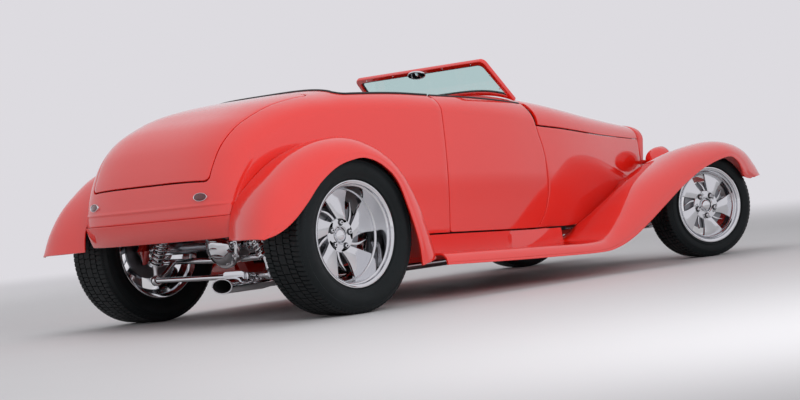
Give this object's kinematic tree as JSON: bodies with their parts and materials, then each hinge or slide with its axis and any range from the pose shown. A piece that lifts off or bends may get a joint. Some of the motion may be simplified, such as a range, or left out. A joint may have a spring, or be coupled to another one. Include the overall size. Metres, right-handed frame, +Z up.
{
  "type": "street rod roadster",
  "caption": "Open two-seat street rod roadster with full fenders, opening doors, hood and deck lid, steered front wheels and free-rolling wheels.",
  "frame": {"origin": "centre of the car's outer box at ground level", "axes": "+X towards the nose, +Y to the car's left, +Z up; the car stands on its tyres at Z = 0"},
  "size_m": [3.723, 1.79, 1.1488],
  "materials": {
    "red_paint": "gloss",
    "polished_aluminium": "polished",
    "chrome": "polished",
    "tyre_rubber": "satin",
    "black_trim": "matte",
    "black_leather": "satin",
    "tinted_glass": "gloss",
    "red_lens": "gloss"
  },
  "bodies": {
    "car": {"body_tub": "red_paint", "cowl": "red_paint", "hood_side_l": "red_paint", "hood_side_r": "red_paint", "grille_shell": "red_paint", "firewall": "red_paint", "floor": "black_trim", "dashboard": "red_paint", "steering_column": "chrome", "seat_cushion": "black_leather", "seat_back": "black_leather", "front_fender_l": "red_paint", "front_fender_r": "red_paint", "rear_fender_l": "red_paint", "rear_fender_r": "red_paint", "roll_pan": "red_paint", "tail_lights": "red_lens", "frame": "red_paint", "windshield_frame": "red_paint", "windshield_glass": "tinted_glass", "rear_view_mirror": "chrome", "headlights": "red_paint", "engine": "chrome", "exhaust": "chrome", "rear_axle": "chrome", "rear_suspension": "chrome", "front_axle": "chrome"},
    "door_l": {"door_l": "red_paint"},
    "door_r": {"door_r": "red_paint"},
    "deck_lid": {"deck_lid": "red_paint"},
    "hood": {"hood_top": "red_paint"},
    "steering_wheel": {"steering_wheel": "black_trim"},
    "knuckle_left": {"knuckle_l": "chrome"},
    "knuckle_right": {"knuckle_r": "chrome"},
    "wheel_front_left": {"wheel_fl": "polished_aluminium", "tyre_fl": "tyre_rubber"},
    "wheel_front_right": {"wheel_fr": "polished_aluminium", "tyre_fr": "tyre_rubber"},
    "wheel_rear_left": {"wheel_rl": "polished_aluminium", "tyre_rl": "tyre_rubber"},
    "wheel_rear_right": {"wheel_rr": "polished_aluminium", "tyre_rr": "tyre_rubber"}
  },
  "joints": [
    {"name": "door_l_hinge", "type": "hinge", "parent": "car", "child": "door_l", "pos_m": [-0.469, 0.6245, 0.6], "axis": [0, 0, 1], "range_deg": [0, 62]},
    {"name": "door_r_hinge", "type": "hinge", "parent": "car", "child": "door_r", "pos_m": [-0.469, -0.6245, 0.6], "axis": [0, 0, -1], "range_deg": [0, 62]},
    {"name": "deck_lid_hinge", "type": "hinge", "parent": "car", "child": "deck_lid", "pos_m": [-1.1685, 0, 1.034], "axis": [0, 1, 0], "range_deg": [0, 50]},
    {"name": "hood_hinge", "type": "hinge", "parent": "car", "child": "hood", "pos_m": [0.2765, 0, 0.962], "axis": [0, -1, 0], "range_deg": [0, 50]},
    {"name": "steer_left", "type": "hinge", "parent": "car", "child": "knuckle_left", "pos_m": [1.4385, 0.66, 0.28], "axis": [0, 0, 1], "range_deg": [-10.3, 45.7]},
    {"name": "steer_right", "type": "hinge", "parent": "car", "child": "knuckle_right", "pos_m": [1.4385, -0.66, 0.28], "axis": [0, 0, 1], "range_deg": [-10.3, 45.7]},
    {"name": "steering_wheel_turn", "type": "hinge", "parent": "car", "child": "steering_wheel", "pos_m": [-0.1265, 0.318, 0.8], "axis": [-0.8944, 0, 0.4472], "range_deg": [-123.6, 548.4]},
    {"name": "spin_front_left", "type": "hinge", "parent": "knuckle_left", "child": "wheel_front_left", "pos_m": [1.44306, 0.67429, 0.28], "axis": [0.304, 0.9527, 0], "continuous": true},
    {"name": "spin_front_right", "type": "hinge", "parent": "knuckle_right", "child": "wheel_front_right", "pos_m": [1.43394, -0.67429, 0.28], "axis": [0.304, 0.9527, 0], "continuous": true},
    {"name": "spin_rear_left", "type": "hinge", "parent": "car", "child": "wheel_rear_left", "pos_m": [-1.3065, 0.707, 0.356], "axis": [0, 1, 0], "continuous": true},
    {"name": "spin_rear_right", "type": "hinge", "parent": "car", "child": "wheel_rear_right", "pos_m": [-1.3065, -0.707, 0.356], "axis": [0, 1, 0], "continuous": true}
  ],
  "couplings": [
    {"joint": "steer_right", "follows": "steer_left", "ratio": 1},
    {"joint": "steering_wheel_turn", "follows": "steer_left", "ratio": 12}
  ]
}
